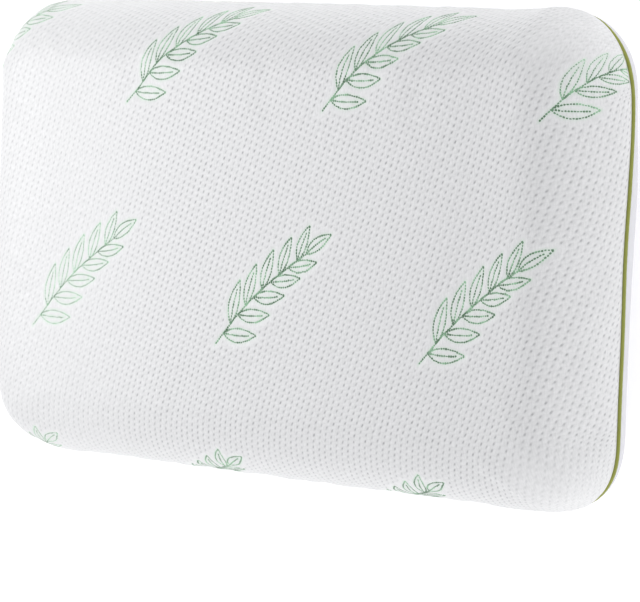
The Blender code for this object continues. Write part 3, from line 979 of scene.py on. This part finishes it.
def blurred(grid, reach):
    """The mean over a square of neighbours, out to a number of grid steps each way."""
    padded = np.pad(grid, reach, mode="constant")
    sums = np.pad(padded.cumsum(axis=0).cumsum(axis=1), ((1, 0), (1, 0)))
    size = 2 * reach + 1
    total = sums[size:, size:] - sums[:-size, size:] - sums[size:, :-size] + sums[:-size, :-size]
    return total / size ** 2


# ---- The zip ----


def from_zip(local):
    """World places of points given in millimetres in the zip's frame."""
    return np.asarray(local, float) / 1000 @ ZIP_TURN.T + np.array(ZIP_PLACE)


def add_zip_piece(name, shape, material, slot, **options):
    """A new piece from points, in millimetres in the zip's frame, and faces."""
    points, faces = shape
    return add_piece(name, from_zip(points), faces, material, slot, **options)


def add_stitches(name, x, y, lift, size, material, **options):
    """Stitches along the zip, all of one size: half length, half width and height."""
    shape = stitch_shapes(stacked(x, y, lift), *np.eye(3), *size)
    add_zip_piece(name, shape, material, "sewing_thread", **options)


def build_zip_tapes(material):
    """The two woven tapes, with their folded inner edges."""
    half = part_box("zip_tape_upper")[1].x * 1000
    edge = [(0.7, -0.85), (0.75, -0.25), (1.0, -0.2), (3.0, -0.17), (5.2, -0.2), (5.4, -0.28),
            (5.4, -0.85)]
    stations = np.linspace(-half, half, 101)
    for name, side in (("zip_tape_upper", -1), ("zip_tape_lower", 1)):
        rings = [[(x, side * y, z + 0.03 * sin(x * 0.31 + y)) for y, z in edge] for x in stations]
        shape = bar(rings)
        piece = add_zip_piece(name + "_cloth", shape, material, "zip_tape", replaces=[name],
                              closed=True)
        set_uv(piece.data, shape[0][:, :2] / 1000)


def build_coils(material, thread):
    """Two nylon coils whose heads lock together, each one long wire, and their stitching."""
    half = COIL_HALF_LENGTH * 1000
    spacing = TOOTH_SPACING * 1000
    count = int(2 * half / spacing) - 1
    turn = [(0.00, 2.50, 0.34), (0.02, 2.68, 0.95), (0.05, 1.80, 1.45), (0.07, 0.30, 1.45),
            (0.12, -0.42, 1.15), (0.18, -0.42, 0.72), (0.30, 0.30, 0.38)]
    for name, side, first in (("zip_coil_upper", -1, 0.15), ("zip_coil_lower", 1, 0.65)):
        path = [(-half + (tooth + first + share) * spacing, side * y, z)
                for tooth in range(count) for share, y, z in turn]
        add_zip_piece(name + "_wire", wire(path, (1.0, 0.0, 0.0), 0.29, 0.27), material,
                      "zip_coil", replaces=[name], closed=True)
    x = np.arange(-count // 2, count // 2) * spacing
    lines = (-2.0, -1.5, 1.5, 2.0)
    add_stitches("zip_coil_stitches", np.tile(x, len(lines)), np.repeat(lines, len(x)), 1.72,
                 (0.55, 0.13, 0.10), thread)


def build_slider(material):
    """The slider's body, bent over the coils, and the arched bridge that holds the pull."""
    place = middle("zip_slider").x * 1000
    section = [(-3.5, 0.15), (-3.5, 2.45), (-3.15, 2.95), (-2.2, 3.15), (0.0, 3.24), (2.2, 3.15),
               (3.15, 2.95), (3.5, 2.45), (3.5, 0.15), (2.95, 0.15), (2.95, 2.05), (-2.95, 2.05),
               (-2.95, 0.15)]
    stations = [(-4.5, 0.965), (-4.2, 0.99), (-3.0, 1.0), (-1.0, 0.975), (1.2, 0.985), (3.2, 1.0),
                (4.2, 0.99), (4.5, 0.965)]
    rings = [[(place + x, y * share, z * share) for y, z in section] for x, share in stations]
    body = bar(rings)
    turn = np.linspace(0.0, pi, 17)
    arch = stacked(place - 3.2 * np.sign(np.cos(turn)) * np.abs(np.cos(turn)) ** 0.7, 0.0,
                   3.0 + 2.65 * np.sin(turn) ** 0.6)
    bridge = wire(arch, (0.0, 1.0, 0.0), 0.95, 0.50, sides=8)
    piece = add_zip_piece("zip_slider_metal", joined([body, bridge]), material, "zip_metal",
                          body="slider", replaces=["zip_slider"], closed=True)
    soften(piece, 0.00016)


def build_pull(material):
    """The blank flat pull, with its eye and a raised rim."""
    low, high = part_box("zip_pull")
    axis = low.x * 1000 + 0.5
    length = (high.x - low.x) * 1000

    def outline(start, end, half_width, power, count):
        turn = np.arange(count) * 2 * pi / count
        across, up = np.cos(turn), np.sin(turn)
        x = np.sign(across) * np.abs(across) ** (2 / power)
        y = np.sign(up) * np.abs(up) ** (2 / power)
        return stacked((start + end) / 2 + (end - start) / 2 * x, half_width * y)

    curve = bpy.data.curves.new("pull_outline", "CURVE")
    curve.dimensions = "2D"
    curve.fill_mode = "BOTH"
    curve.extrude = 0.00030
    curve.bevel_depth = 0.00020
    curve.bevel_resolution = 2
    edge = outline(-0.3, length - 0.7, 3.0, 3.4, 72)
    edge[:, 1] *= 0.88 + 0.12 * ease(2.0, 12.0, edge[:, 0])
    for loop in (edge, outline(0.7, 4.0, 1.1, 3.0, 24)):
        spline = curve.splines.new("POLY")
        spline.points.add(len(loop) - 1)
        spline.use_cyclic_u = True
        for point, (x, y) in zip(spline.points, loop):
            point.co = (x / 1000, y / 1000, 0.0, 1.0)
    drawn = bpy.data.objects.new("pull_outline", curve)
    plate = bpy.data.meshes.new_from_object(drawn)
    bpy.data.objects.remove(drawn)
    form = bmesh.new()
    form.from_mesh(plate)
    bmesh.ops.remove_doubles(form, verts=form.verts, dist=0.00001)
    bmesh.ops.triangulate(form, faces=[face for face in form.faces if len(face.verts) > 4])
    form.verts.index_update()
    points = np.array([corner.co[:] for corner in form.verts]) * 1000
    faces = [[corner.index for corner in face.verts] for face in form.faces]
    form.free()
    bpy.data.meshes.remove(plate)

    rim = outline(6.2, length - 2.2, 2.0, 3.0, 60)
    away = unit(rim - rim.mean(axis=0))
    border = closed_tube(stacked(*rim.T, 0.48), stacked(*away.T, 0.0),
                         lambda step, turn: np.full((len(step), len(turn)), 0.24), 8)
    points, faces = joined([(points, faces), border])
    add_zip_piece("zip_pull_metal", (points + (axis, 0.0, PULL_HEIGHT), faces), material,
                  "zip_metal", body="pull", replaces=["zip_pull"], closed=True)


def build_zip_stitching(material):
    """The two lines of topstitching beside the zip, and the bar tacks at its ends."""
    rng = np.random.default_rng(13)
    half, step = SLOT_HALF_LENGTH * 1000, TOPSTITCH_LENGTH * 1000
    x = (np.arange(int(2 * half / step)) + 0.5) * step - half
    for name, side in (("zip_topstitch_upper", -1), ("zip_topstitch_lower", 1)):
        y = side * TOPSTITCH_PLACE * 1000 + rng.normal(0.0, 0.06, len(x))
        add_stitches(name + "_thread", x, y, 0.42, (step * 0.42, 0.27, 0.26), material,
                     replaces=[name])
    y = np.arange(-5.6, 5.7, 0.42)
    for name in ("zip_bar_tack_start", "zip_bar_tack_end"):
        x = middle(name).x * 1000 + rng.normal(0.0, 0.07, len(y))
        add_stitches(name + "_thread", x, y, 0.45, (1.25, 0.22, 0.30), material, replaces=[name])


# ---- The label ----


def build_label(material):
    """The blank care label: a folded loop of satin that hangs from the seam of the -X end."""
    low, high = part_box("care_label")
    length, thickness = 0.027, 0.00018
    down = np.linspace(0.0, length, 15)
    lift = 0.0006 + 0.0022 * (down / length) ** 1.6
    fold = np.linspace(-pi / 2, pi / 2, 7)[1:-1]
    gap = 0.00035
    tip = stacked(length + 0.0006 * np.cos(fold), lift[-1] + gap * np.sin(fold))
    path = np.concatenate([stacked(down, lift - gap), tip, stacked(down, lift + gap)[::-1]])
    beside = unit(np.gradient(path, axis=0))[:, ::-1] * (-1, 1) * thickness / 2
    ring = np.concatenate([path + beside, (path - beside)[::-1]])
    rings, flat = [], []
    for b in np.linspace(low.y, high.y, 13):
        curl = 1 + 0.25 * sin((b - low.y) * 160)
        a = -(FACE_X + WHOLE_SIDE - SEAM_ALONG - ring[:, 0])
        rings.append(surface(a, np.full(len(ring), b), ring[:, 1] * curl, top=False))
        flat.append(stacked(b, ring[:, 0]))
    points, faces = bar(rings)
    piece = add_piece("care_label_satin", points, faces, material, "label_satin",
                      replaces=["care_label"], closed=True)
    set_uv(piece.data, np.concatenate(flat))


def finish_nodes(material, *nodes):
    """Give CAD nodes that stay their material."""
    for node in nodes:
        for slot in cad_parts[node].material_slots:
            slot.material = material


# ---- Camera, light and floor ----
VIEW_TURN = radians(45.07)  # from the face's normal towards the pillow's +X end
VIEW_PITCH = radians(3.64)
VIEW_ROLL = radians(-1.56)
VIEW_DISTANCE = 3.693
VIEW_OFFSET = (-0.0172, 0.0499)  # of the pillow's middle, right and up from the picture's middle
LENS = 246.3
FLOOR_HALF = 30.0
FLOOR_DROP = 0.0002


def camera_axes():
    """The camera's right, up and back directions, as the rows of a matrix."""
    turn = Matrix.Rotation(-VIEW_TURN, 3, "Y")
    pitch = Matrix.Rotation(VIEW_PITCH, 3, "X")
    roll = Matrix.Rotation(VIEW_ROLL, 3, "Z")
    return roll @ pitch @ turn


def make_camera():
    """The camera, with the pillow's +Y side up in the picture."""
    to_world = camera_axes().transposed()
    data = bpy.data.cameras.new("camera")
    data.lens = LENS
    data.clip_end = 50.0
    camera = bpy.data.objects.new("camera", data)
    bpy.context.scene.collection.objects.link(camera)
    back = Vector((-VIEW_OFFSET[0], -VIEW_OFFSET[1], VIEW_DISTANCE))
    place = to_world @ back + Vector((0, 0, THICKNESS / 2))
    camera.matrix_world = Matrix.Translation(place) @ to_world.to_4x4()
    bpy.context.scene.camera = camera


def add_light(name, place, size, power):
    """A square area light that faces the pillow's middle."""
    data = bpy.data.lights.new(name, "AREA")
    data.shape = "SQUARE"
    data.size = size
    data.energy = power
    lamp = bpy.data.objects.new(name, data)
    bpy.context.scene.collection.objects.link(lamp)
    aim = Vector((0, 0, THICKNESS / 2)) - Vector(place)
    lamp.location = place
    lamp.rotation_euler = aim.to_track_quat("-Z", "Y").to_euler()


def make_studio():
    """A pale floor, an even white surround, and soft lights on all sides."""
    mesh = bpy.data.meshes.new("floor")
    corners = [(x * FLOOR_HALF, y * FLOOR_HALF, 0) for x, y in ((-1, -1), (1, -1), (1, 1), (-1, 1))]
    mesh.from_pydata(corners, [], [(0, 1, 2, 3)])
    look = Look("floor", (0.90, 0.90, 0.90), 0.9, Emission_Color=(1, 1, 1, 1),
                Emission_Strength=0.37)
    shades = look.mix(look.noise(900.0), (0.89, 0.89, 0.895), (0.91, 0.91, 0.91))
    mesh.materials.append(look.finish(shades))
    floor = bpy.data.objects.new("floor", mesh)
    floor.location.z = -FLOOR_DROP
    bpy.context.scene.collection.objects.link(floor)
    world = bpy.data.worlds.new("surround")
    world.use_nodes = True
    sky = world.node_tree.nodes["Background"].inputs
    sky["Color"].default_value = (0.97, 0.98, 1.0, 1.0)
    sky["Strength"].default_value = 0.56
    bpy.context.scene.world = world
    bpy.context.scene.view_settings.view_transform = "Standard"
    add_light("left_light", (-0.62, 0.1, 0.75), 0.45, 2.6)
    add_light("right_light", (2.6, -0.3, 0.15), 0.8, 9.0)
    add_light("front_light", (0.2, -2.2, 1.2), 1.4, 15.0)
    add_light("back_light", (0.2, 2.2, 1.2), 1.4, 10.7)


# ---- Putting it together ----
lines = all_sprig_lines()
marks = np.concatenate(lines)
marks = marks[(np.abs(marks[:, 0]) < FACE_X + 0.12) & (np.abs(marks[:, 1]) < FACE_Y + 0.12)]
settle_cloth()
knit = dimpled_knit_material()
thread = sewing_thread_material()
metal = metal_material()
build_top_panel(knit, marks)
build_bottom_panel(plain_knit_material())
build_piping(piping_material(), cord_material())
build_zip_tapes(zip_tape_material())
build_coils(coil_material(), thread)
build_slider(metal)
build_pull(metal)
build_zip_stitching(thread)
build_label(satin_material())
finish_nodes(foam_material(), "foam_core")
finish_nodes(jersey_material(), "liner_upper", "liner_lower")
finish_nodes(thread, "liner_seam")
for stop in ("zip_bottom_stop", "zip_top_stop_upper", "zip_top_stop_lower"):
    finish_nodes(metal, stop)
    soften(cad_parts[stop], 0.00025)
build_sprigs(lines, green_thread_material())
make_camera()
make_studio()
